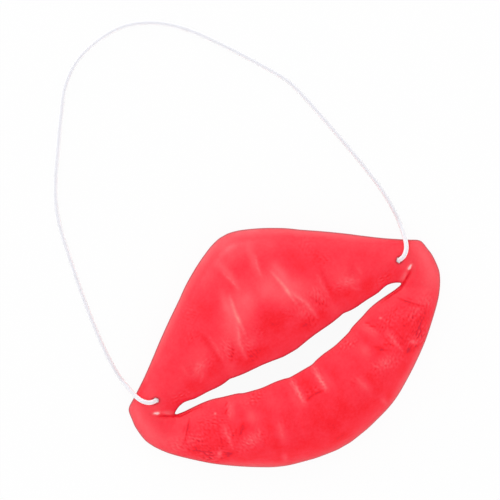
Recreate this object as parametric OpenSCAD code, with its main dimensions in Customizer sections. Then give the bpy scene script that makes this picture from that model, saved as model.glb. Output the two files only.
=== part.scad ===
// Novelty lips mask
//
// One thin moulded skin in the shape of full lips, open along the mouth and hollow
// behind, worn on a loop of round elastic. The elastic goes in through a hole at each
// corner and ends in an overhand knot behind the skin. The mask lies face up on its
// flat rim. X runs along the mouth, +Y points to the upper lip, and Z starts at the rim.

/* [Outline] */
// Width of the skin from corner to corner
lips_w = 150; // [135:1:180]
// Height of the upper rim's peak above the mouth line
upper_h = 55; // [45:0.5:70]
// Depth of the lower rim below the mouth line
lower_h = 50.8; // [42:0.2:65]
// Height above the mouth line at which the flank meets the side
corner_h = 9; // [7:0.2:14]
// Reach of the corner's rounding along the flank
corner_run = 5; // [3:0.5:8]
// Radius of the upper rim at its peak
peak_r = 20; // [10:0.5:26]

/* [Mouth] */
// Length of the mouth slit
slit_len = 113; // [96:1:115]
// Gap between the lips at the middle of the mouth
mouth_gap = 8.8; // [6:0.2:13]
// Gap at the round ends of the slit
slit_end_gap = 3; // [2:0.2:4.6]
// Dip of the upper lip's edge at the middle of the mouth
lip_dip = 3.6; // [1:0.2:6]
// Drop of the slit's ends below the mouth line
slit_drop = 1.3; // [0:0.1:3]

/* [Relief] */
// Wall of the moulded skin
wall = 1.2; // [0.8:0.1:1.8]
// Height of the upper lip's crest
upper_relief = 22; // [18:0.5:30]
// Height of the lower lip's crest
lower_relief = 23; // [18:0.5:30]
// Height of the skin's crest round the corners
corner_relief = 10.5; // [9:0.5:14]
// Height of the upper lip's edge at the middle of the mouth
upper_edge_z = 17.5; // [12:0.5:20]
// Height of the lower lip's edge at the middle of the mouth
lower_edge_z = 19; // [12:0.5:21]
// Height of the slit's ends
slit_end_z = 8.8; // [7:0.2:9]
// Distance of the upper lip's crest above the mouth line
upper_crest_y = 18.5; // [13:0.5:26]
// Distance of the lower lip's crest below the mouth line
lower_crest_y = 28.5; // [22:0.5:34]

/* [Folds] */
// Height of the bulge in the middle of the upper lip
bulge_h = 2.2; // [0:0.1:3.5]
// Reach of that bulge round its middle
bulge_r = 10; // [7:0.5:14]
// Depth of the hollow between that bulge and the peak
hollow_depth = 0.9; // [0:0.1:1.5]
// Depth of the creases that cross the lips
crease_depth = 0.8; // [0:0.1:1]
// Width of those creases
crease_w = 2.8; // [2:0.1:4]
// Depth of the fold that runs out from each end of the slit
fold_depth = 1.3; // [0:0.1:1.6]
// Width of that fold
fold_w = 1.8; // [1.6:0.1:3]

/* [Elastic] */
// Diameter of the round elastic
cord_d = 2; // [1.6:0.1:2.4]
// Clearance of the elastic in its holes, all round
hole_clearance = 0.3; // [0.2:0.05:0.5]
// Distance between the two cord holes
hole_span = 121.6; // [116:0.4:126]
// Height of the cord holes above the mouth line
hole_y = 7.7; // [6.5:0.1:9]
// Lean of each hole towards its own corner
hole_lean = 50; // [30:1:55]

/* [Hidden] */

half_w = lips_w / 2;
// The mouth line's place, with the origin at the middle of the outline's box
mouth_y = (lower_h - upper_h) / 2;

// ---- Outline of the rim ----

// The flanks are a hyperbola that passes through the peak and the corner
flank_drop = upper_h - corner_h;
flank_m2 = pow(flank_drop, 2) / (pow(half_w, 2) - 2 * flank_drop * peak_r);
flank_a = flank_m2 * peak_r;
// How full the lower rim is, along X and along Y
lower_x_power = 1.18;
lower_y_power = 1.33;

function upper_rim(x) = [x, upper_h + flank_a - sqrt(pow(flank_a, 2) + flank_m2 * x * x)];

function corner_rim(t) =
    let (from = upper_rim(half_w - corner_run), over = [half_w, corner_h], to = [half_w, 0])
    from * pow(1 - t, 2) + over * (2 * t * (1 - t)) + to * t * t;

function lower_rim(angle) = [
    half_w * pow(cos(angle), lower_x_power),
    -lower_h * pow(sin(angle), lower_y_power)
];

// ---- Outline of the mouth slit ----

slit_end_r = slit_end_gap / 2;
slit_end_x = slit_len / 2 - slit_end_r;
// The lower lip's edge hangs by what the gap and the upper lip's dip leave to it
lower_sag = mouth_gap + lip_dip - slit_end_gap;
lip_dip_run = 19;

function upper_slit(x) = [x, slit_end_r - slit_drop - lip_dip * exp(-pow(x / lip_dip_run, 2))];

function slit_end(angle) = [
    slit_end_x + slit_end_r * sin(angle),
    slit_end_r * cos(angle) - slit_drop
];

function lower_slit(x) = [x, -slit_end_r - slit_drop - lower_sag * pow(cos(90 * x / slit_end_x), 2)];

// ---- Stations round the right half, from the peak to the middle of the lower rim ----

upper_stations = 24;
end_stations = 8;
lower_stations = 28;
// The lower rim's angle at which the fan round the slit's end is over
fan_angle = 22;
corner_stations = 4;

right_rim = concat(
    [for (i = [0:upper_stations - 1]) upper_rim((half_w - corner_run) * i / upper_stations)],
    [for (i = [0:corner_stations - 1]) corner_rim(i / corner_stations)],
    [for (i = [0:end_stations - corner_stations - 1])
        lower_rim(fan_angle * i / (end_stations - corner_stations))],
    [for (i = [0:lower_stations]) lower_rim(fan_angle + (90 - fan_angle) * i / lower_stations)]
);

right_slit = concat(
    [for (i = [0:upper_stations - 1]) upper_slit(slit_end_x * i / upper_stations)],
    [for (i = [0:end_stations - 1]) slit_end(180 * i / end_stations)],
    [for (i = [0:lower_stations]) lower_slit(slit_end_x * (1 - i / lower_stations))]
);

last_right = len(right_rim) - 1;

// ---- Relief of each station: crest place, crest height and edge height ----

upper_crest_t = (upper_h - upper_crest_y) / (upper_h - upper_slit(0)[1]);
lower_crest_t = (lower_h - lower_crest_y) / (lower_h + lower_slit(0)[1]);
corner_crest_t = 0.62;

// 1 at the middle of a lip and 0 round the slit's end
function middle_share(i) = cos(90 * min(1, right_slit[i][0] / slit_end_x));
function is_upper(i) = i < upper_stations + end_stations / 2;
function blended(corner, middle, share) = corner + (middle - corner) * share;

crest_t = [for (i = [0:last_right])
    blended(corner_crest_t, is_upper(i) ? upper_crest_t : lower_crest_t, middle_share(i))];
crest_z = [for (i = [0:last_right])
    blended(corner_relief, is_upper(i) ? upper_relief : lower_relief, middle_share(i))];
edge_z = [for (i = [0:last_right])
    blended(slit_end_z, is_upper(i) ? upper_edge_z : lower_edge_z, middle_share(i))];

// ---- Section of the skin's front, from the rim over the crest to the slit ----

outer_rings = 13;
inner_rings = 9;
last_ring = outer_rings + inner_rings;
// Below 1 the outer side is fuller than an ellipse
outer_power = 0.75;
// How far the lip has turned over at the slit
roll_angle = 50;

// [share of the way from rim to slit, height] at ring j of station i
function section(i, j) =
    j <= outer_rings
    ? let (turn = 90 * j / outer_rings)
        [crest_t[i] * (1 - pow(cos(turn), outer_power)), crest_z[i] * pow(sin(turn), outer_power)]
    : let (turn = roll_angle * (j - outer_rings) / inner_rings)
        [
            crest_t[i] + (1 - crest_t[i]) * sin(turn) / sin(roll_angle),
            edge_z[i] + (crest_z[i] - edge_z[i]) * (cos(turn) - cos(roll_angle)) / (1 - cos(roll_angle))
        ];

// ---- Folds ----

// Creases that cross the right half of the lips, each from one point to another,
// in millimetres from the middle of the mouth line
creases = [
    [[8, 34], [6, 18]],
    [[20, 40], [18, 28]],
    [[18, 28], [18, 5]],
    [[29, 24], [27.5, 4]],
    [[42, 17], [38, 3]],
    [[0, -17], [0, -40]],
    [[11, -16], [13, -42]],
    [[25, -12], [30, -36]],
    [[36, -9], [44, -28]],
    [[47, -6], [57, -20]]
];
// The hollow lies this far above the bulge, and is this wide and this high
hollow_rise = 18.5;
hollow_reach = [12, 5];

// The fold starts at the slit's end and runs this far out and up
fold_run = [10, 4.5];
slit_tip = [slit_len / 2, -slit_drop];
slit_end_fold = [slit_tip, slit_tip + fold_run];

// Distance from p to the line between a and b
function line_distance(p, a, b) =
    let (along = max(0, min(1, (p - a) * (b - a) / ((b - a) * (b - a)))))
    norm(p - a - (b - a) * along);

function groove(p, line, width) = exp(-pow(line_distance(p, line[0], line[1]) / width, 2));

function sum(list, i = 0) = i < len(list) ? list[i] + sum(list, i + 1) : 0;

function hollow(p) =
    exp(-pow(p[0] / hollow_reach[0], 2) - pow((p[1] - upper_crest_y - hollow_rise) / hollow_reach[1], 2));

function fold_height(p) =
    bulge_h * exp(-pow(norm(p - [0, upper_crest_y]) / bulge_r, 2))
    - hollow_depth * hollow(p)
    - crease_depth * min(1, sum([for (line = creases) groove(p, line, crease_w)]))
    - fold_depth * groove(p, slit_end_fold, fold_w);

// ---- Points of the skin ----

// A point of the right half's front. The folds fade out towards the rim.
function front_point(i, j) =
    let (at = section(i, j), p = right_rim[i] + (right_slit[i] - right_rim[i]) * at[0])
    [p[0], p[1] + mouth_y, at[1] + fold_height(p) * pow(min(1, j / outer_rings), 2)];

function mirrored(p) = [-p[0], p[1], p[2]];

right_front = [for (i = [0:last_right]) [for (j = [0:last_ring]) front_point(i, j)]];

// The whole way round: the right half down, then the left half back up
front = concat(
    right_front,
    [for (i = [last_right - 1:-1:1]) [for (p = right_front[i]) mirrored(p)]]
);
stations = len(front);

function unit(v) = v / norm(v);

// The rim stands upright, so the wall's foot is flat
function front_normal(i, j) =
    let (
        before = front[(i + stations - 1) % stations],
        after = front[(i + 1) % stations],
        inward = j == 0 ? [0, 0, 1] : front[i][min(j + 1, last_ring)] - front[i][j - 1]
    )
    unit(cross(inward, after[j] - before[j]));

back = [for (i = [0:stations - 1]) [for (j = [0:last_ring]) front[i][j] - wall * front_normal(i, j)]];

// ---- Skin solid ----

rings = last_ring + 1;

// Point numbers: the front's rings from the rim in, then the back's from the slit out
function skin_index(i, k) = (i % stations) * 2 * rings + k % (2 * rings);

skin_points = [for (i = [0:stations - 1]) each concat(front[i], [for (j = [last_ring:-1:0]) back[i][j]])];

skin_faces = [for (i = [0:stations - 1]) for (k = [0:2 * rings - 1]) each [
    [skin_index(i, k), skin_index(i + 1, k), skin_index(i + 1, k + 1)],
    [skin_index(i, k), skin_index(i + 1, k + 1), skin_index(i, k + 1)]
]];

// ---- Cord holes ----

function twice_area(a, b, c) = (b[0] - a[0]) * (c[1] - a[1]) - (b[1] - a[1]) * (c[0] - a[0]);

// Height of the front at p where p lies over the triangle, and nothing elsewhere
function height_over(p, a, b, c) =
    let (u = twice_area(p, b, c), v = twice_area(a, p, c), w = twice_area(a, b, p), all = u + v + w)
    min(u / all, v / all, w / all) < 0 ? [] : [(u * a[2] + v * b[2] + w * c[2]) / all];

function front_heights(p) = [
    for (i = [0:last_right - 1]) for (j = [0:last_ring - 1])
        let (a = front[i][j], b = front[i + 1][j], c = front[i + 1][j + 1], d = front[i][j + 1])
        each concat(height_over(p, a, b, c), height_over(p, a, c, d))
];

hole_x = hole_span / 2;
hole_top = [hole_x, mouth_y + hole_y, front_heights([hole_x, mouth_y + hole_y])[0]];
hole_axis = [sin(hole_lean), 0, cos(hole_lean)];
hole_r = cord_d / 2 + hole_clearance;
// The bore reaches this far past each face of the wall
hole_margin = 3;

module cord_hole() {
    translate(hole_top)
        rotate([0, hole_lean, 0])
            translate([0, 0, -wall - hole_margin])
                cylinder(r = hole_r, h = wall + 2 * hole_margin, $fn = 32);
}

module lips_shell() {
    color([0.97, 0.24, 0.3])
        difference() {
            polyhedron(points = skin_points, faces = skin_faces, convexity = 8);
            cord_hole();
            mirror([1, 0, 0]) cord_hole();
        }
}

// ---- Sweeping the round elastic ----

cord_sides = 8;

function clamp_index(list, i) = max(0, min(len(list) - 1, i));

// A smooth curve through the points, cut into steps between each two
function curve_at(p0, p1, p2, p3, t) =
    0.5 * (2 * p1 + (p2 - p0) * t + (2 * p0 - 5 * p1 + 4 * p2 - p3) * t * t
        + (3 * p1 - p0 - 3 * p2 + p3) * t * t * t);

function smooth_path(points, steps) = concat(
    [for (i = [0:len(points) - 2]) for (s = [0:steps - 1])
        curve_at(
            points[clamp_index(points, i - 1)], points[i],
            points[i + 1], points[clamp_index(points, i + 2)], s / steps
        )],
    [points[len(points) - 1]]
);

function path_tangents(path) = [
    for (i = [0:len(path) - 1]) unit(path[clamp_index(path, i + 1)] - path[clamp_index(path, i - 1)])
];

function square_to(v, t) = unit(v - (v * t) * t);

// Side vectors carried along the path without twist
function path_sides(tangents, first) = [
    for (i = 0, side = square_to(first, tangents[0]);
        i < len(tangents);
        i = i + 1, side = i < len(tangents) ? square_to(side, tangents[i]) : side)
    side
];

module tube(path, radius, first_side, start, end) {
    inner = path_tangents(path);
    last = len(path) - 1;
    tangents = [for (i = [0:last]) i == 0 ? start : i == last ? end : inner[i]];
    sides = path_sides(tangents, first_side);
    points = [for (i = [0:last]) for (k = [0:cord_sides - 1])
        let (turn = 360 * (k + 0.5) / cord_sides)
        path[i] + radius * (cos(turn) * sides[i] + sin(turn) * cross(tangents[i], sides[i]))];
    wall_faces = [for (i = [0:last - 1]) for (k = [0:cord_sides - 1])
        let (a = i * cord_sides + k, b = i * cord_sides + (k + 1) % cord_sides)
        each [[a, b + cord_sides, b], [a, a + cord_sides, b + cord_sides]]];
    end_faces = [
        [for (k = [0:cord_sides - 1]) k],
        [for (k = [cord_sides - 1:-1:0]) last * cord_sides + k]
    ];
    polyhedron(points = points, faces = concat(wall_faces, end_faces), convexity = 6);
}

// ---- Elastic ----

cord_r = cord_d / 2;

// The lie of the skin's face at the hole
slope_step = 0.5;
function slope_at(p, step) = (front_heights(p + step)[0] - front_heights(p - step)[0]) / (2 * norm(step));
hole_place = [hole_top[0], hole_top[1]];
face_normal = unit([-slope_at(hole_place, [slope_step, 0]), -slope_at(hole_place, [0, slope_step]), 1]);

// The elastic's own solid starts this far behind the skin, face to face with the knot
knot_gap = 0.3;
right_start = hole_top - hole_axis * ((wall + knot_gap) / (hole_axis * face_normal));

// From the hole over the skin's shoulder and down to the table, each point as
// [X, Y, Z] from the hole's top at the right corner
over_shoulder = [
    [1.8, 0.2, 1], [3.5, 1, 1.2], [5.3, 2.8, 0.4], [6.8, 5.7, -2], [8, 9.7, -6.9], [8.9, 13.8, -9.6]
];

// The loop on the table, in the part's own X and Y, from the left corner to the right
loop_route = [
    [-70.2, 24], [-69.9, 35], [-68.5, 47], [-66.5, 60], [-63.8, 74], [-60.8, 88], [-57.5, 98.8],
    [-52, 109.5], [-43.5, 122], [-35, 134], [-27, 144], [-17, 151], [-5, 154.2], [8, 154],
    [20, 149], [31, 139.5], [41, 126], [50, 112], [57.8, 98.5], [61, 88], [63.5, 76],
    [66.2, 62], [68.6, 48], [70.2, 35], [70.2, 24]
];

right_lead = concat([right_start, hole_top], [for (p = over_shoulder) hole_top + p]);
left_lead = [for (p = right_lead) mirrored(p)];
right_end = [for (i = [len(right_lead) - 1:-1:0]) right_lead[i]];
path_steps = 2;

// Nothing of the elastic lies under the table
cord_path = [
    for (p = smooth_path(concat(left_lead, [for (p = loop_route) [p[0], p[1], cord_r]], right_end), path_steps))
    [p[0], p[1], max(p[2], cord_r)]
];

module elastic_cord() {
    color([0.96, 0.96, 0.97])
        tube(cord_path, cord_r, [0, 1, 0], mirrored(hole_axis), -hole_axis);
}

// ---- Knots ----

// An overhand knot is a trefoil, opened at the outside of one lobe. Its strands lie
// side by side, so its sizes go with the elastic's radius.
trefoil_r = 2.42 * cord_r;
trefoil_lobe = 1.1 * cord_r;
trefoil_rise = 1.2 * cord_r;
trefoil_steps = 30;
// Where the two ends leave the trefoil's lobe
trefoil_opening = 30;
trefoil_out = trefoil_r + trefoil_lobe;

function trefoil(t) = [
    (trefoil_r + trefoil_lobe * cos(1.5 * t)) * cos(t),
    (trefoil_r + trefoil_lobe * cos(1.5 * t)) * sin(t),
    trefoil_rise * sin(1.5 * t)
];

// The knot lies flat behind the skin, on its inner side of the hole
knot_out = square_to([1, 0, 0], face_normal);
knot_side = cross(face_normal, knot_out);
// The hollow of the skin bends away this much over the knot's width
knot_hollow = 1.1;
knot_depth = wall + knot_gap + knot_hollow + trefoil_rise + cord_r;
// The knot sits this far aside, so that its first strand starts in line with the hole
knot_aside = 0.7 * cord_r;
knot_middle = hole_top - hole_axis * (knot_depth / (hole_axis * face_normal))
    - knot_out * trefoil_out - knot_side * knot_aside;

// The elastic runs straight on behind the skin for this far before it turns into the knot
knot_lead = 0.9 * cord_r;
// Its way in, and the cut end's way out, in radii of the elastic from the lobe's outside
knot_entry = [0, 0.75, 0.9];
knot_tail = [[0.7, -0.9, -1.5], [1.3, -0.5, -3.2]];

function in_knot(p) = knot_middle + knot_out * p[0] + knot_side * p[1] + face_normal * p[2];
function off_lobe(p) = in_knot([trefoil_out, 0, 0] + p * cord_r);

knot_path = concat(
    [right_start, right_start - hole_axis * knot_lead, off_lobe(knot_entry)],
    [for (i = [0:trefoil_steps])
        in_knot(trefoil(trefoil_opening + (720 - 2 * trefoil_opening) * i / trefoil_steps))],
    [for (p = knot_tail) off_lobe(p)]
);

module knot() {
    last = len(knot_path) - 1;
    tube(knot_path, cord_r, knot_side, -hole_axis, unit(knot_path[last] - knot_path[last - 1]));
}

module right_knot() {
    color([0.93, 0.93, 0.95]) knot();
}

module left_knot() {
    color([0.93, 0.93, 0.95]) mirror([1, 0, 0]) knot();
}

lips_shell();
elastic_cord();
left_knot();
right_knot();
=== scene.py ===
import math

import bmesh
import bpy
import numpy as np
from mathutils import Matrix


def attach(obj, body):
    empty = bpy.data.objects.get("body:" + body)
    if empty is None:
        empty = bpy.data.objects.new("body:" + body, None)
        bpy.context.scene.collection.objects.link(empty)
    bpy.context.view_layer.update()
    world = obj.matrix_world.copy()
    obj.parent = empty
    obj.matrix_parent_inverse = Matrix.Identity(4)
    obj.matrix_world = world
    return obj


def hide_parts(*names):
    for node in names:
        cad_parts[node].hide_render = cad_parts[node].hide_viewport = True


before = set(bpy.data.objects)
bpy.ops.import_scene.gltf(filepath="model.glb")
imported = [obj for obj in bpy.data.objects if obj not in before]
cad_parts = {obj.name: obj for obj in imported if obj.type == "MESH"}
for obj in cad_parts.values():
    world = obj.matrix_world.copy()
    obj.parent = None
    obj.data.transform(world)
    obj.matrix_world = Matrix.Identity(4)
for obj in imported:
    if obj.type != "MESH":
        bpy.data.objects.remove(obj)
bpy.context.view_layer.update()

# ---- Camera ----
# The mask lies face up on the table. The camera looks straight down on it, turned so
# that the mouth runs up to the right, and takes in the whole loop of elastic.
table_across = 0.21866
camera_height = 1.3
camera_data = bpy.data.cameras.new("camera")
camera_data.lens = camera_data.sensor_width * camera_height / table_across
camera = bpy.data.objects.new("camera", camera_data)
camera.location = (0.0071, 0.0417, camera_height)
camera.rotation_euler = (0, 0, math.radians(-30))
bpy.context.scene.collection.objects.link(camera)
bpy.context.scene.camera = camera
bpy.context.scene.view_settings.view_transform = "Standard"

# ---- Elastic ----
# One length of 2 mm round elastic, a rubber core under a plaited white cover. It comes out
# of a hole at each corner, bends over the skin's shoulder and lies in a loose loop on the
# table. Lengths are in millimetres up to the point where a mesh is made.
MM = 0.001
elastic_radius = 1.0
hole_lean = math.radians(50)
hole_axis = np.array([math.sin(hole_lean), 0, math.cos(hole_lean)])
hole_top = np.array([60.8, 5.6, 11.0])
elastic_start = np.array([59.37, 5.6, 9.8])
mirror = np.array([-1, 1, 1])

# From the hole over the shoulder and down to the table, as [X, Y, Z] from the hole's top
over_shoulder = [
    (1.8, 0.2, 1), (3.5, 1, 1.2), (5.3, 2.8, 0.4), (6.8, 5.7, -2), (8, 9.7, -6.9), (8.9, 13.8, -9.6)
]
# The loop on the table, from the left corner to the right
loop_route = [
    (-70.2, 24), (-69.9, 35), (-68.5, 47), (-66.5, 60), (-63.8, 74), (-60.8, 88), (-57.5, 98.8),
    (-52, 109.5), (-43.5, 122), (-35, 134), (-27, 144), (-17, 151), (-5, 154.2), (8, 154),
    (20, 149), (31, 139.5), (41, 126), (50, 112), (57.8, 98.5), (61, 88), (63.5, 76),
    (66.2, 62), (68.6, 48), (70.2, 35), (70.2, 24)
]


def smooth_curve(points, spacing):
    """Points about spacing apart on a smooth curve through the given ones."""
    points = np.asarray(points, float)
    found = []
    for i in range(len(points) - 1):
        p1, p2 = points[i], points[i + 1]
        p0, p3 = points[max(i - 1, 0)], points[min(i + 2, len(points) - 1)]
        steps = max(1, round(float(np.linalg.norm(p2 - p1)) / spacing))
        t = (np.arange(steps) / steps)[:, None]
        found.append(0.5 * (2 * p1 + (p2 - p0) * t + (2 * p0 - 5 * p1 + 4 * p2 - p3) * t ** 2
                            + (3 * p1 - p0 - 3 * p2 + p3) * t ** 3))
    return np.vstack(found + [points[-1:]])


def unit(vectors):
    return vectors / np.linalg.norm(vectors, axis=-1, keepdims=True)


def sheet_faces(rows, columns, close_rows=False, close_columns=False):
    """The four-sided faces of a grid of points, row after row."""
    i = np.arange(rows if close_rows else rows - 1)[:, None]
    j = np.arange(columns if close_columns else columns - 1)[None, :]
    below, right = (i + 1) % rows * columns, (j + 1) % columns
    faces = np.stack([i * columns + j, i * columns + right, below + right, below + j], axis=-1)
    return faces.reshape(-1, 4)


def make_piece(name, points, faces, sharp_angle=60):
    """A piece in the root body, from points in millimetres."""
    mesh = bpy.data.meshes.new(name)
    mesh.from_pydata((np.asarray(points) * MM).tolist(), [], faces)
    mesh.validate()
    mesh.shade_smooth()
    mesh.set_sharp_from_angle(angle=math.radians(sharp_angle))
    piece = bpy.data.objects.new(name, mesh)
    bpy.context.scene.collection.objects.link(piece)
    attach(piece, "root")
    return piece


# The plait: strands each way round, and the cover's relief
plait_strands = 8
plait_pitch = 0.7
plait_depth = 0.03
plait_sides = 28
ring_spacing = 0.25


def plait(turn, along):
    """How proud the cover stands, from 0 between the yarns to 1 on top of one."""
    one_way = plait_strands * turn / (2 * math.pi) + along / plait_pitch
    other_way = plait_strands * turn / (2 * math.pi) - along / plait_pitch
    over = (np.floor(one_way) + np.floor(other_way)) % 2
    across = np.where(over == 0, one_way % 1, other_way % 1)
    return np.sqrt(np.sin(math.pi * across).clip(0, 1))


def elastic_tube(name, path, first_side):
    """A length of the plaited elastic along a path, closed at both ends."""
    tangents = unit(np.gradient(path, axis=0))
    side = np.array(first_side, float)
    sides = []
    for tangent in tangents:
        side = unit(side - side.dot(tangent) * tangent)
        sides.append(side)
    sides = np.array(sides)[:, None, :]
    ups = np.cross(tangents[:, None, :], sides)
    along = np.concatenate([[0], np.cumsum(np.linalg.norm(np.diff(path, axis=0), axis=1))])[:, None]
    turn = (2 * math.pi * np.arange(plait_sides) / plait_sides)[None, :]
    radius = elastic_radius - plait_depth * (1 - plait(turn, along))
    offset = np.cos(turn)[..., None] * sides + np.sin(turn)[..., None] * ups
    rings = path[:, None, :] + radius[..., None] * offset
    faces = sheet_faces(len(path), plait_sides, close_columns=True).tolist()
    last_ring = (len(path) - 1) * plait_sides
    faces.append(list(range(plait_sides))[::-1])
    faces.append([last_ring + k for k in range(plait_sides)])
    piece = make_piece(name, rings.reshape(-1, 3), faces)
    # 0 along the tube's top and 1 at its sides, where the painted sheen is whitest
    level = unit(np.cross(tangents, (0, 0, 1)))[:, None, :]
    beside = np.abs((offset * level).sum(axis=-1))
    piece.data.attributes.new("beside", "FLOAT", "POINT").data.foreach_set("value", beside.ravel())
    return piece


right_lead = [elastic_start, hole_top] + [hole_top + p for p in over_shoulder]
left_lead = [p * mirror for p in right_lead]
on_table = [(x, y, elastic_radius) for x, y in loop_route]
elastic_path = smooth_curve(left_lead + on_table + right_lead[::-1], ring_spacing)
elastic_path[:, 2] = elastic_path[:, 2].clip(elastic_radius)
elastic = elastic_tube("elastic", elastic_path, (0, 1, 0))
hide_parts("elastic_cord")


class Socket:
    """One output of a material's nodes. Sums on it add Math nodes."""

    def __init__(self, tree, output=None):
        self.tree = tree
        self.output = output

    def node(self, kind, settings=(), inputs=(), output=0):
        """A new node of that kind: its settings first, then its sockets' values or links."""
        node = self.tree.nodes.new("ShaderNode" + kind)
        for name, value in dict(settings).items():
            if name == "stops":
                ramp = node.color_ramp.elements
                while len(ramp) < len(value):
                    ramp.new(0.5)
                for element, (position, colour) in zip(ramp, value):
                    element.position = position
                    element.color = (*colour, 1)
            else:
                setattr(node, name, value)
        for name, value in dict(inputs).items():
            if isinstance(value, Socket):
                self.tree.links.new(value.output, node.inputs[name])
            else:
                node.inputs[name].default_value = value
        return Socket(self.tree, node.outputs[output] if node.outputs else None)

    def maths(self, operation, first, second):
        return self.node("Math", {"operation": operation}, {0: first, 1: second})

    def __add__(self, other):
        return self.maths("ADD", self, other)

    def __sub__(self, other):
        return self.maths("SUBTRACT", self, other)

    def __rsub__(self, other):
        return self.maths("SUBTRACT", other, self)

    def __mul__(self, other):
        return self.maths("MULTIPLY", self, other)

    __radd__ = __add__
    __rmul__ = __mul__


def new_material(name):
    """A material and the place that its nodes start from."""
    material = bpy.data.materials.new(name)
    material.use_nodes = True
    material.node_tree.nodes.clear()
    return material, Socket(material.node_tree)


def srgb(red, green, blue):
    """A colour given in the 0 to 255 values that a screen shows."""
    shares = [value / 255 for value in (red, green, blue)]
    return tuple(s / 12.92 if s < 0.04045 else ((s + 0.055) / 1.055) ** 2.4 for s in shares)


# White polyester yarn: dull and a little translucent. Its colour has a painted sheen:
# whitest at the elastic's sides and a little greyer along its top, by where a point lies round the
# tube
elastic_material, shade = new_material("white_elastic")
place = shade.node("TexCoord", output=3)
filaments = shade.node("TexNoise", {}, {"Vector": place, "Scale": 2600, "Detail": 3})
yarn_shade = shade.node("TexNoise", {}, {"Vector": place, "Scale": 160, "Detail": 2})
beside_top = shade.node("Attribute", {"attribute_name": "beside"}, output=2)
# Painted sheen: grey along the top of the elastic, white at its sides
yarn_and_sheen_stops = [
    (0.3, srgb(226, 226, 231)), (0.6, srgb(230, 230, 235)),
    (0.82, srgb(248, 247, 250)), (0.98, srgb(254, 253, 255))
]
yarn_and_sheen_colour = shade.node("ValToRGB", {"stops": yarn_and_sheen_stops}, {0: beside_top + 0.1 * yarn_shade})
yarn_bump = shade.node("Bump", {}, {"Strength": 0.35, "Distance": 0.00008, "Height": filaments})
yarn_depth = 0.0015
yarn = shade.node(
    "BsdfPrincipled", {},
    {"Base Color": yarn_and_sheen_colour, "Roughness": 0.5, "Normal": yarn_bump, "Sheen Weight": 1.0,
     "Sheen Roughness": 0.25, "Subsurface Weight": 0.6, "Subsurface Scale": 1.0,
     "Subsurface Radius": (yarn_depth, yarn_depth, yarn_depth)}
)
shade.node("OutputMaterial", {}, {"Surface": yarn})
elastic.data.materials.append(elastic_material)

# ---- Knots ----
# An overhand knot in each end of the elastic, drawn up behind the skin on the inner side
# of its hole, with a short cut tail that points back into the hollow.
knot_middle = np.array([52.81, 4.82, 7.93])
knot_out = np.array([0.971, 0.024, -0.238])
knot_side = np.array([0, 0.995, 0.102])
knot_up = np.array([0.239, -0.099, 0.966])
trefoil_r = 2.42
trefoil_lobe = 1.1
trefoil_rise = 1.2
trefoil_out = trefoil_r + trefoil_lobe
trefoil_opening = 30
trefoil_steps = 60
straight_behind_hole = 0.9
knot_lead = [(trefoil_out, 0.75, 0.9)]
knot_tail = [(trefoil_out + 0.7, -0.9, -1.5), (trefoil_out + 1.3, -0.5, -3.2)]
# The trefoil goes twice round its middle, and three times in and out
in_knot = list(knot_lead)
for turn in np.radians(np.linspace(trefoil_opening, 720 - trefoil_opening, trefoil_steps)):
    reach = trefoil_r + trefoil_lobe * math.cos(1.5 * turn)
    rise = trefoil_rise * math.sin(1.5 * turn)
    in_knot.append((reach * math.cos(turn), reach * math.sin(turn), rise))
in_knot += knot_tail
right_knot_route = [elastic_start, elastic_start - straight_behind_hole * hole_axis]
right_knot_route += [
    knot_middle + x * knot_out + y * knot_side + z * knot_up for x, y, z in in_knot
]
right_knot_path = smooth_curve(right_knot_route, ring_spacing)
right_knot = elastic_tube("knot_right", right_knot_path, knot_side)
left_knot = elastic_tube("knot_left", right_knot_path * mirror, knot_side)
left_knot.data.flip_normals()
for knot, node in ((right_knot, "right_knot"), (left_knot, "left_knot")):
    knot.data.materials.append(elastic_material)
    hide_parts(node)

# ---- Lips skin ----
# One thin skin of soft red vinyl, moulded over a form and trimmed by hand along its flat
# rim and round the mouth. It is hollow behind, and a cord hole is punched at each corner.
# Places on it are [X, Y] in millimetres from the middle of the mouth line.
mouth_y = -2.1
wall = 1.2

# The trimmed rim's right half, from the peak over the corner to the middle below
upper_rim = [
    (0, 55), (3, 54.8), (8.1, 53.3), (15.6, 49.9), (21.9, 46.4), (26.2, 43.7), (31.2, 40.1),
    (38.7, 35), (46.8, 29.2), (53.1, 24.4), (60, 19.3), (66.4, 15), (70, 12.7)
]
corner_rim = [
    (70, 12.7), (72.6, 11.1), (74, 9.3), (74.6, 5.6), (75, 1.5), (74.3, -4.8), (72.5, -9.1),
    (70.2, -12.7)
]
lower_rim = [
    (70.2, -12.7), (67.5, -16), (63.1, -20.4), (55.5, -27.3), (50, -31.6), (43.7, -36),
    (37.5, -39.9), (31.2, -43.5), (25, -46.1), (17.5, -48.2), (12.5, -49.4), (6.3, -50.4),
    (3, -50.8), (0, -50.8)
]
# The cut edges of the mouth, from the middle to the slit's end and back
upper_edge = [
    (0, -3.4), (3, -3.35), (4.4, -3.2), (8.7, -2.5), (13.1, -1.9), (17.5, -1.55), (21.9, -1.2),
    (26, -0.6), (28.4, -0.2), (31.5, -0.6), (35, -0.65), (39.4, -0.3), (45.5, -0.1), (48.1, 0.4),
    (50.7, 0.8), (53, 0.5)
]
end_edge = [
    (53, 0.5), (54.6, -0.1), (55.9, -0.8), (56.6, -1.35), (56.5, -1.8), (55.9, -2.1), (54.8, -2.3)
]
lower_edge = [
    (54.8, -2.3), (52.5, -2.6), (48.1, -2.85), (43.7, -3.2), (39.4, -3.9), (34.5, -5.4),
    (28.9, -7), (26, -8.3), (21, -9.6), (17.5, -10.3), (12.2, -10.8), (8.3, -11.5), (5.7, -12.2),
    (3, -12.3), (0, -12.3)
]
edge_spacing = 0.2


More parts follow.
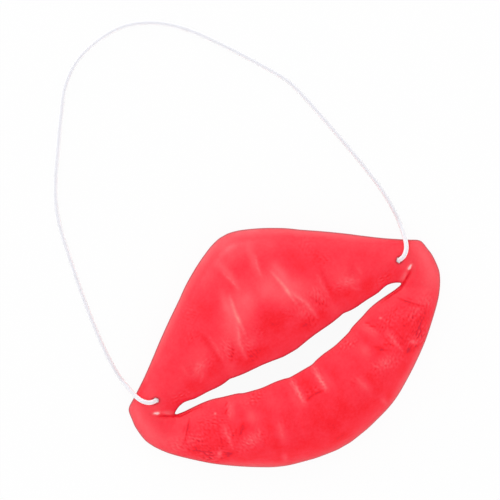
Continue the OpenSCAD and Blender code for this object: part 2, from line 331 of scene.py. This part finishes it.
def along_edge(edge, shares):
    """Points at those shares of a smooth edge's length."""
    line = smooth_curve(edge, edge_spacing)
    lengths = np.concatenate([[0], np.cumsum(np.linalg.norm(np.diff(line, axis=0), axis=1))])
    return np.stack([np.interp(shares * lengths[-1], lengths, line[:, k]) for k in (0, 1)], axis=-1)


# Stations round the right half, from the peak to the middle of the lower rim
upper_count, end_count, lower_count = 210, 76, 230
upper_share = np.arange(upper_count) / upper_count
end_share = np.arange(end_count) / end_count
lower_share = np.arange(lower_count + 1) / lower_count
rim = np.vstack([
    along_edge(upper_rim, upper_share), along_edge(corner_rim, end_share),
    along_edge(lower_rim, lower_share)
])
slit = np.vstack([
    along_edge(upper_edge, upper_share), along_edge(end_edge, end_share),
    along_edge(lower_edge, lower_share)
])

# The form: how far in the crest lies, and the heights of crest and cut edge
slit_end_x = 55
in_upper_lip = np.arange(len(rim)) < upper_count + end_count // 2
middle_share = np.cos(math.pi / 2 * (slit[:, 0] / slit_end_x).clip(0, 1))


def from_corner(corner, upper, lower):
    """A size that goes from its value at the corner to those at the middle of the lips."""
    return corner + (np.where(in_upper_lip, upper, lower) - corner) * middle_share


crest_share = from_corner(0.62, 0.625, 0.58)
crest_z = from_corner(10.5, 22, 23)
edge_z = from_corner(8.8, 17.5, 19)

# The section from the rim over the crest and down to the mouth
section_power = 0.75
outer_count, inner_count = 64, 44
outer_turn = (math.pi / 2 * np.arange(outer_count) / outer_count)[None, :]
roll_angle = math.radians(50)
inner_turn = (roll_angle * np.arange(inner_count + 1) / inner_count)[None, :]
share = np.hstack([
    crest_share[:, None] * (1 - np.cos(outer_turn) ** section_power),
    crest_share[:, None] + (1 - crest_share[:, None]) * np.sin(inner_turn) / math.sin(roll_angle)
])
height = np.hstack([
    crest_z[:, None] * np.sin(outer_turn) ** section_power,
    edge_z[:, None] + (crest_z - edge_z)[:, None] * (np.cos(inner_turn) - math.cos(roll_angle))
    / (1 - math.cos(roll_angle))
])
plan = rim[:, None, :] + (slit - rim)[:, None, :] * share[..., None]
ring_count = outer_count + inner_count + 1
rings = np.arange(ring_count)[None, :]
# Fine relief fades out over the rings next to the rim and to the mouth's cut edge
rings_at_rim, rings_at_cut = 14, 10
off_rim = (rings / rings_at_rim).clip(0, 1) ** 2
off_cut = ((ring_count - 1 - rings) / rings_at_cut).clip(0, 1)
# How weak a stroke starts and ends, and how soon it reaches its full strength
stroke_end = 0.08
stroke_power = 0.6


def stroke(points, width):
    """1 along a line through the points, and nothing from about its width away."""
    nearest = np.full(plan.shape[:2], np.inf)
    reached = np.zeros(plan.shape[:2])
    whole = 0
    for a, b in zip(points[:-1], points[1:]):
        a, b = np.array(a), np.array(b)
        length = np.linalg.norm(b - a)
        along = ((plan - a) @ (b - a) / length ** 2).clip(0, 1)
        off = np.linalg.norm(plan - a - (b - a) * along[..., None], axis=-1)
        reached = np.where(off < nearest, whole + along * length, reached)
        nearest = np.minimum(nearest, off)
        whole += length
    place_on_line = stroke_end + (1 - 2 * stroke_end) * reached / whole
    taper = np.sin(math.pi * place_on_line) ** stroke_power
    return np.exp(-(nearest / width) ** 2) * taper


def spot(x, y, reach_x, reach_y):
    """1 in the middle of a soft round or oval place and nothing outside it."""
    return np.exp(-((plan[..., 0] - x) / reach_x) ** 2 - ((plan[..., 1] - y) / reach_y) ** 2)


# The broad folds of the form, which its back follows too
bulge_height = 2.2
hollow_depth = 0.9
crease_depth = 0.8
crease_width = 2.8
fold_depth = 1.3
fold_width = 1.8
crease_lines = [
    [(8, 34), (6, 18)], [(20, 40), (18, 28), (18, 5)], [(29, 24), (27.5, 4)], [(42, 17), (38, 3)],
    [(0, -17), (0, -40)], [(11, -16), (13, -42)], [(25, -12), (30, -36)], [(36, -9), (44, -28)],
    [(47, -6), (57, -20)]
]
bulge = bulge_height * spot(0, 18.5, 9, 8.5) - hollow_depth * spot(0, 37, 12, 5)
creases = crease_depth * np.minimum(1, sum(stroke(line, crease_width) for line in crease_lines))
corner_fold = fold_depth * stroke([(56.5, -1.3), (61, 0), (66.5, 4.2)], fold_width)
height = height + (bulge - creases - corner_fold) * (rings / outer_count).clip(0, 1) ** 2

chance = np.random.default_rng(11)
grain_waves = 40
grain_peak = 9
shortest_wave, longest_wave = 0.75, 1.6


def grain(wave, lean, stretch):
    """A random relief from about -1 to 1, with waves that long across the lean in degrees."""
    relief = np.zeros(plan.shape[:2])
    lean = math.radians(lean)
    along = np.array([math.cos(lean), math.sin(lean)])
    across = np.array([-math.sin(lean), math.cos(lean)])
    for _ in range(grain_waves):
        turn, phase = chance.uniform(0, 2 * math.pi, 2)
        pace = 2 * math.pi / (wave * chance.uniform(shortest_wave, longest_wave))
        step = pace * (math.cos(turn) / stretch * along + math.sin(turn) * across)
        relief += np.cos(plan @ step + phase)
    return relief / grain_peak


# Ridges that the form's tool marks leave: line, width, height, and how broken up they are
broken = grain(1.6, 0, 1)
ridges = [
    ([(10.4, 31.2), (11.4, 26), (12.2, 20), (12.7, 14)], 0.8, 0.36, 0.35),
    ([(12.4, 20.6), (14.6, 16.4), (16.7, 11.2), (17.6, 4)], 0.6, 0.18, 0.8),
    ([(8, 41), (6.2, 36), (5.6, 31.5)], 0.6, 0.2, 0.6),
    ([(26.8, 20.5), (26.5, 15), (26.4, 9)], 0.6, 0.22, 0.8),
    ([(37, 7.5), (40, 5.2)], 0.7, 0.15, 0.4),
    ([(43.6, 15), (43.4, 10)], 0.8, 0.1, 0.3),
    ([(5.4, -14.5), (5.4, -25)], 0.95, 0.36, 0.8),
    ([(18.8, -26.5), (21.3, -33.5)], 1, 0.12, 0.6),
    ([(27.5, -23.5), (30.5, -29.3)], 0.7, 0.15, 0.8),
    ([(31.5, -25), (34, -29.8)], 0.6, 0.14, 0.8),
    ([(33.8, -8.6), (36.6, -14.5)], 0.8, 0.22, 0.8),
    ([(41.1, -18.8), (42.2, -27.2)], 0.7, 0.22, 0.8),
    ([(23.8, -40.5), (25.2, -43.8)], 0.8, 0.12, 0.2),
    ([(46.8, -24.2), (49, -26.5), (52, -27)], 0.6, 0.2, 0.4),
    ([(47.5, -28), (48.6, -25.5), (50.2, -23.8)], 0.5, 0.16, 0.4),
    ([(58, -1), (60.8, 1.1)], 0.6, 0.3, 0)
]
# Grooves: line, width and depth
grooves = [
    ([(19.6, 13.2), (21.8, 9), (24, 6.4)], 0.8, 0.22),
    ([(29.4, 23), (28.6, 14), (28, 6)], 1.2, 0.1),
    ([(0, -23.6), (4.4, -24.6)], 0.5, 0.12),
    ([(52.2, -6.2), (54.7, -9.4), (58.7, -13.7), (60.3, -15)], 0.4, 0.25),
    ([(55.4, -8), (57.8, -10.9)], 0.35, 0.12),
    ([(45, -4.7), (48.7, -3.9), (55.6, -3.4)], 0.35, 0.18),
    ([(55.9, -2.7), (57.9, -1.6), (61.8, 0.3), (64.2, 1.9)], 0.42, 0.27),
    ([(62.1, -11.9), (65, -10.9)], 0.45, 0.12),
    ([(63.1, -13.1), (66.2, -11.9)], 0.45, 0.12),
    ([(62.8, -14.4), (66.2, -13.4)], 0.45, 0.12),
    ([(53.1, -17.5), (55.6, -14.4)], 0.45, 0.14),
    ([(54.3, -18.1), (56.9, -15)], 0.45, 0.1),
    ([(56.2, -18.1), (58.7, -15.3)], 0.45, 0.14),
    ([(57.8, -19.4), (60.3, -16.2)], 0.45, 0.1),
    ([(53.5, -22.8), (55.5, -20.2), (57.6, -19.3)], 0.45, 0.12),
    ([(34.4, -8.4), (35.9, -9.4)], 0.4, 0.2),
    ([(35.3, -10.6), (37.5, -11.9)], 0.4, 0.2),
    ([(47.4, -10.1), (49.6, -10.3)], 0.35, 0.18),
    ([(32.4, -19.2), (35.9, -21.4)], 0.7, 0.13),
    ([(33.2, -21), (37.6, -23.6)], 0.4, 0.15),
    ([(36.7, -20), (40.2, -22.6)], 0.4, 0.13),
    ([(45.6, -23.7), (47.8, -25)], 0.4, 0.18),
    ([(43.5, -28.6), (46.2, -27.4)], 0.6, 0.1)
]
raised = sum(
    rise * stroke(line, width) * (1 - gaps * (0.5 - broken).clip(0, 1))
    for line, width, rise, gaps in ridges
)
sunk = sum(depth * stroke(line, width) for line, width, depth in grooves)
blobs = (
    0.35 * spot(28.4, -18.4, 1.4, 2.8) + 0.2 * spot(21, -12.2, 1.6, 2)
    + 0.4 * spot(63.2, 2.7, 1.7, 1)
)

# Crinkled patches: middle, reach each way, lean of the marks, and their height
patches = [
    (22.3, 11.5, 3, 5, 60, 0.14), (7.6, 11, 2.5, 4, 20, 0.07), (35, 11.5, 6, 3, -35, 0.12),
    (34, -28, 6, 3.2, 65, 0.2), (52, -25, 7, 4, 40, 0.17), (54, -16, 5, 4.5, 80, 0.17),
    (62, -14.5, 4, 4, 55, 0.12), (45, -13, 7, 5, 30, 0.12), (41, -21, 4, 5, 60, 0.14),
    (51, 4, 5, 1.8, 10, 0.1), (23.5, -12.5, 5, 2.5, 50, 0.14), (5.5, -17, 1.8, 6, 80, 0.12),
    (14, 9, 3, 7, 60, 0.1), (2, -22, 3, 1.4, 10, 0.12), (18.5, -27.5, 2, 1.5, 45, 0.14),
    (29, 33, 4, 5, 50, 0.08), (33, 24, 4, 4, -40, 0.08)
]
crinkle = sum(
    rise * spot(x, y, reach_x, reach_y) * grain(1.1, lean, 1.7)
    for x, y, reach_x, reach_y, lean, rise in patches
)
pebble_height = 0.03
pebbles = pebble_height * grain(2.6, 90, 1.5)
detail = (raised - sunk + blobs + crinkle + pebbles) * off_rim * off_cut

right_form = np.concatenate([plan + [0, mouth_y], height[..., None]], axis=-1)
form = np.concatenate([right_form, right_form[-2:0:-1] * mirror])
whole_detail = np.concatenate([detail, detail[-2:0:-1]])


def outward(surface):
    """The outward normals of the closed skin. The rim stands upright."""
    round_rim = np.roll(surface, -1, axis=0) - np.roll(surface, 1, axis=0)
    inward = np.gradient(surface, axis=1)
    inward[:, 0] = (0, 0, 1)
    return unit(np.cross(inward, round_rim))


normals = outward(form)
front = form + whole_detail[..., None] * normals
back_step = 4
back_rings = np.concatenate([np.arange(0, ring_count - 1, back_step), [ring_count - 1]])
back = (form - wall * normals)[:, back_rings][:, ::-1]
skin_points = np.concatenate([front, back], axis=1)
skin_faces = sheet_faces(*skin_points.shape[:2], close_rows=True, close_columns=True)
lips = make_piece(
    "lips_skin", skin_points.reshape(-1, 3), skin_faces.tolist(), sharp_angle=50
)
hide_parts("lips_shell")

# How the red varies: up to 1 where it is paler, partly where the vinyl is stretched, rubbed or thin
# and partly as painted highlight on ridges, folds and slopes turned to the lamps; and a little
# below 0 where it is deeper, partly where the vinyl is thick and partly as painted shade in
# grooves, hollows and on slopes turned away. Smears have a line, a width and a share, and places a
# middle, a reach each way and a share.
upper_smears = [
    ([(6, 53), (26, 42.8), (47, 28), (60, 18.4)], 2, 0.3),
    ([(7.4, 46), (6.1, 39.4), (5.2, 31.5)], 1.6, 0.25),
    ([(12.9, 33), (13.7, 27), (13.4, 22)], 2.1, 0.36),
    ([(12.6, 20.2), (14.7, 16.6), (16.9, 11.4), (17.7, 4.5)], 1.1, 0.25),
    ([(21, 39.4), (21.9, 29), (22.7, 19.2)], 3.5, -0.06),
    ([(12, 1.8), (22, 1.6), (31, 1.6), (46, 3)], 2.6, -0.05),
    ([(27.5, 12.2), (31.5, 6.5), (44, 3.3)], 2.6, -0.07),
    ([(34, 12.2), (40, 9.4)], 2, 0.3),
    ([(48, 5.5), (54, 4.4), (59, 5)], 2.2, -0.07)
]
corner_smears = [
    ([(56.8, -0.4), (61.5, 2.2)], 0.7, 0.3),
    ([(47, -4.6), (56.5, -3.2), (60.5, -0.8)], 0.6, -0.06),
    ([(51.5, -6.2), (56, -12), (60.3, -15.9)], 0.6, -0.08)
]
lower_smears = [
    ([(5.6, -12.8), (5.6, -25)], 1.3, 0.3), ([(8.2, -14), (8.2, -26)], 1.4, 0.12),
    ([(0, -23.9), (4, -23.9)], 0.5, -0.1), ([(9, -42.5), (24, -39)], 3.5, -0.06),
    ([(19.8, -26), (21.3, -34)], 2.3, 0.2), ([(23.6, -30), (25.5, -40)], 2.4, -0.06),
    ([(24.4, -39.5), (25.3, -42.5)], 1.5, 0.2), ([(28, -43.5), (38, -38), (50, -30.2)], 1.3, 0.22),
    ([(31, -21), (36, -24)], 2.2, -0.08), ([(32.5, -9), (35.6, -15)], 1.4, 0.2),
    ([(41, -16.5), (41.8, -23)], 1.4, 0.25), ([(46.9, -25), (49.2, -26.4)], 1.2, 0.2)
]
upper_places = [
    (0, 53, 14, 3, 0.35), (4, 46, 12, 4, 0.1), (13, 50.5, 3, 2, 0.2), (15.3, 41.5, 4, 3, 0.1),
    (5.5, 29.5, 3, 4, -0.1), (6, 26.5, 6, 5, 0.45), (10, 20, 4, 3, 0.2), (17, 21, 4, 5, 0.22),
    (15.7, 16.5, 4, 5, 0.13), (8.7, 15.5, 3, 3, 0.1), (0, 11.5, 8, 6, -0.12), (0, 11, 7, 5, -0.06),
    (13, 9, 3, 3, 0.15), (22, 13.5, 4, 5, 0.15), (11, 4.4, 6, 3, -0.06), (13, 4.5, 5, 3, -0.08),
    (5, 1, 12, 3, -0.05), (17.5, 3, 4, 3, -0.05), (20.5, 5.2, 2.2, 4, -0.09),
    (26.2, 2.5, 2, 3, 0.08), (27, 29, 7, 5.5, -0.05), (34, 15, 5, 3.5, 0.1),
    (30, 6.5, 8, 2.5, -0.05), (44, 6.6, 3, 3, -0.04), (44, 6.3, 3.5, 2.5, -0.08),
    (56.8, 2.6, 4, 2, -0.08), (60, 11.5, 6, 3, 0.06)
]
corner_places = [
    (64, 5, 4, 5, 0.15), (71.5, 5, 3.5, 10, 0.35), (65.6, -2.2, 4, 4, -0.06),
    (69, -6, 5, 6, 0.25), (59, -11, 4, 2.5, 0.1), (63.5, -11, 4, 3, 0.12),
    (63.5, -14, 2.6, 2.2, 0.2), (56, -15.5, 3, 2.4, 0.2), (57, -19.5, 3.4, 2.4, -0.09),
    # Painted highlight: the glint on the fold, in the palest red
    (63, 2.5, 0.9, 0.7, 2), (64.2, 3.2, 0.8, 0.5, 1.2)
]
lower_places = [
    (0, -30, 75, 14, -0.05), (0, -18, 3.5, 6, -0.09), (0, -38, 14, 8, -0.09), (0, -46, 8, 2, -0.1),
    (8.7, -17, 3, 4, -0.06), (17.5, -18, 3, 4, 0.1), (20, -15, 5, 5, -0.04), (26, -11, 4, 3, 0.1),
    (28.4, -18.8, 2.4, 3.4, 0.3), (22, -28.5, 3, 3, -0.06), (33.5, -27.3, 4, 2.6, 0.25),
    (28, -34, 4, 4, -0.04), (26, -41.5, 4, 2, -0.08), (39.5, -34, 6, 2.5, -0.06),
    (30.6, -15.3, 2.5, 3, -0.08), (35, -6.6, 3, 1.5, 0.12), (50, -6.5, 9, 2, 0.08),
    # Painted highlight: a small glint at (41.3, -9.9)
    (41.3, -9.9, 0.5, 0.5, 0.8), (50, -17, 8, 5, -0.04), (50, -19, 8, 6, -0.05),
    (44, -23, 3.5, 3, -0.08), (52.5, -24, 3.5, 3, -0.1), (44.5, -28.2, 3, 1.5, -0.09),
    (48, -28.5, 4, 2, -0.1)
]
smears = upper_smears + corner_smears + lower_smears
places = upper_places + corner_places + lower_places
# Ridges and crinkles are paler, partly as stretched vinyl and partly as painted highlight; grooves
# and crinkle hollows are deeper, as painted shade
tone = 1.4 * raised - sunk + 1.3 * crinkle
tone = tone + sum(share * stroke(line, width) for line, width, share in smears)
tone = tone + sum(share * spot(x, y, reach_x, reach_y) for x, y, reach_x, reach_y, share in places)
tone = tone.clip(-0.4, 2)

# Painted shade next to the cut edges: the rim, the mouth and the punched holes are darkened to a
# dull red
hole_radius = 1.3
trim_width = 0.5
off_hole_top = right_form - hole_top
off_hole_axis = off_hole_top - (off_hole_top @ hole_axis)[..., None] * hole_axis
from_cut = np.minimum.reduce([
    np.linalg.norm(plan - rim[:, None, :], axis=-1),
    np.linalg.norm(plan - slit[:, None, :], axis=-1),
    (np.linalg.norm(off_hole_axis, axis=-1) - hole_radius).clip(0)
])
trim = np.exp(-(from_cut / trim_width) ** 2)

plain_back = np.zeros((len(front), len(back_rings)))
for name, right_half in (("tone", tone), ("trim", trim)):
    both_halves = np.concatenate([right_half, right_half[-2:0:-1]])
    values = np.concatenate([both_halves, plain_back], axis=1)
    lips.data.attributes.new(name, "FLOAT", "POINT").data.foreach_set("value", values.ravel())

lips_material, shade = new_material("red_vinyl")
place = shade.node("TexCoord", output=3)
mottle = shade.node("TexNoise", {}, {"Vector": place, "Scale": 150, "Detail": 6, "Roughness": 0.7})
grit = shade.node("TexNoise", {}, {"Vector": place, "Scale": 900, "Detail": 1})
tone_here = shade.node("Attribute", {"attribute_name": "tone"}, output=2)
# The deepest stops carry painted shade as well as thick vinyl, the palest carry painted highlight
# as well as stretched vinyl, up to the fold's glint
red_stops = [
    (0, srgb(222, 8, 46)), (0.06, srgb(252, 8, 34)), (0.14, srgb(254, 40, 61)),
    (0.44, srgb(255, 88, 98)), (0.68, srgb(255, 126, 124)), (1, srgb(255, 194, 198))
]
plain_red = 0.054
red_share = 0.6 * tone_here + 0.2 * mottle + 0.08 * (grit - 0.5) + plain_red
red = shade.node("ValToRGB", {"stops": red_stops}, {0: red_share})
# Painted shade: the dull red that the cut edges are darkened to
edge_shade_red = (*srgb(176, 30, 44), 1)
edge_shade_share = 0.85
trimmed = shade.node("Attribute", {"attribute_name": "trim"}, output=2)
lips_colour = shade.node(
    "Mix", {"data_type": "RGBA"}, {0: edge_shade_share * trimmed, 6: red, 7: edge_shade_red}, output=2
)
peel = shade.node("TexNoise", {}, {"Vector": place, "Scale": 700, "Detail": 3})
skin_bump = shade.node("Bump", {}, {"Strength": 0.25, "Distance": 0.0001, "Height": peel})
vinyl = shade.node(
    "BsdfPrincipled", {},
    {"Base Color": lips_colour, "Roughness": 0.33, "Specular IOR Level": 0.3,
     "Normal": skin_bump, "Subsurface Weight": 0.1, "Subsurface Scale": 1.0,
     "Subsurface Radius": (0.004, 0.0012, 0.001)}
)
shade.node("OutputMaterial", {}, {"Surface": vinyl})
lips.data.materials.append(lips_material)

# The hole for the elastic at each corner, punched square to the skin
punch_length = 6
for way in (mirror, mirror ** 2):
    punch_mesh = bpy.data.meshes.new("punch")
    punch_shape = bmesh.new()
    bmesh.ops.create_cone(
        punch_shape, cap_ends=True, segments=48, radius1=hole_radius * MM, radius2=hole_radius * MM,
        depth=punch_length * MM
    )
    punch_shape.to_mesh(punch_mesh)
    punch_shape.free()
    punch_mesh.materials.append(lips_material)
    punch = bpy.data.objects.new("punch", punch_mesh)
    punch.location = hole_top * way * MM
    punch.rotation_euler = (0, hole_lean * way[0], 0)
    bpy.context.scene.collection.objects.link(punch)
    cut = lips.modifiers.new("cord_hole", "BOOLEAN")
    cut.operation = "DIFFERENCE"
    cut.solver = "EXACT"
    cut.object = punch
    punched_lips = lips.evaluated_get(bpy.context.evaluated_depsgraph_get())
    punched = bpy.data.meshes.new_from_object(punched_lips)
    lips.modifiers.clear()
    lips.data = punched
    bpy.data.objects.remove(punch)

# ---- Table, light and background ----
# A plain white table in a soft white room. Two lamps, one broad and one small, stand low
# beyond the upper lip and make the gloss on the folds and at the corners.
floor_reach = 3
floor_mesh = bpy.data.meshes.new("floor")
floor_mesh.from_pydata(
    [(x * floor_reach, y * floor_reach, 0) for x, y in ((-1, -1), (1, -1), (1, 1), (-1, 1))],
    [], [(0, 1, 2, 3)]
)
floor = bpy.data.objects.new("floor", floor_mesh)
bpy.context.scene.collection.objects.link(floor)
floor_material, shade = new_material("white_table")
floor_white = 0.85
darker_in_gloss = 0.4
background_share = 0.94
in_gloss = shade.node("LightPath", output=3)
matt = shade.node("BsdfDiffuse", {}, {"Color": floor_white - darker_in_gloss * in_gloss})
glow = shade.node("Emission", {}, {"Color": (1, 1, 1, 1), "Strength": 1.0})
in_view = shade.node("LightPath")
seen = shade.node("MixShader", {}, {0: background_share * in_view, 1: matt, 2: glow})
shade.node("OutputMaterial", {}, {"Surface": seen})
floor_mesh.materials.append(floor_material)

# The room is white in view. Its light comes mostly from the sides, and its gloss mostly
# from beyond the upper lip.
world = bpy.data.worlds.new("room")
bpy.context.scene.world = world
world.use_nodes = True
world.node_tree.nodes.clear()
shade = Socket(world.node_tree)
sky = shade.node("TexCoord")
beyond = shade.node("SeparateXYZ", {}, {0: sky}, output=1)
above = shade.node("SeparateXYZ", {}, {0: sky}, output=2)
spread = 1.25 - 0.08 * beyond - 0.33 * above
mirrored = 1.0 + 0.67 * beyond - 0.52 * above
in_view = shade.node("LightPath")
in_gloss = shade.node("LightPath", output=3)
strength = in_view + (1 - in_view) * (in_gloss * mirrored + (1 - in_gloss) * spread)
room = shade.node("Background", {}, {"Color": (1, 1, 1, 1), "Strength": strength})
shade.node("OutputWorld", {}, {"Surface": room})

lamp_place = (0.0, 1.45, 0.32)
lamp_lean = math.radians(-78)
for name, width, depth, power in (("soft_lamp", 1.0, 0.4, 3.4), ("small_lamp", 0.1, 0.1, 0.9)):
    lamp_data = bpy.data.lights.new(name, "AREA")
    lamp_data.shape = "RECTANGLE"
    lamp_data.size = width
    lamp_data.size_y = depth
    lamp_data.energy = power
    lamp = bpy.data.objects.new(name, lamp_data)
    lamp.location = lamp_place
    lamp.rotation_euler = (lamp_lean, 0, 0)
    bpy.context.scene.collection.objects.link(lamp)
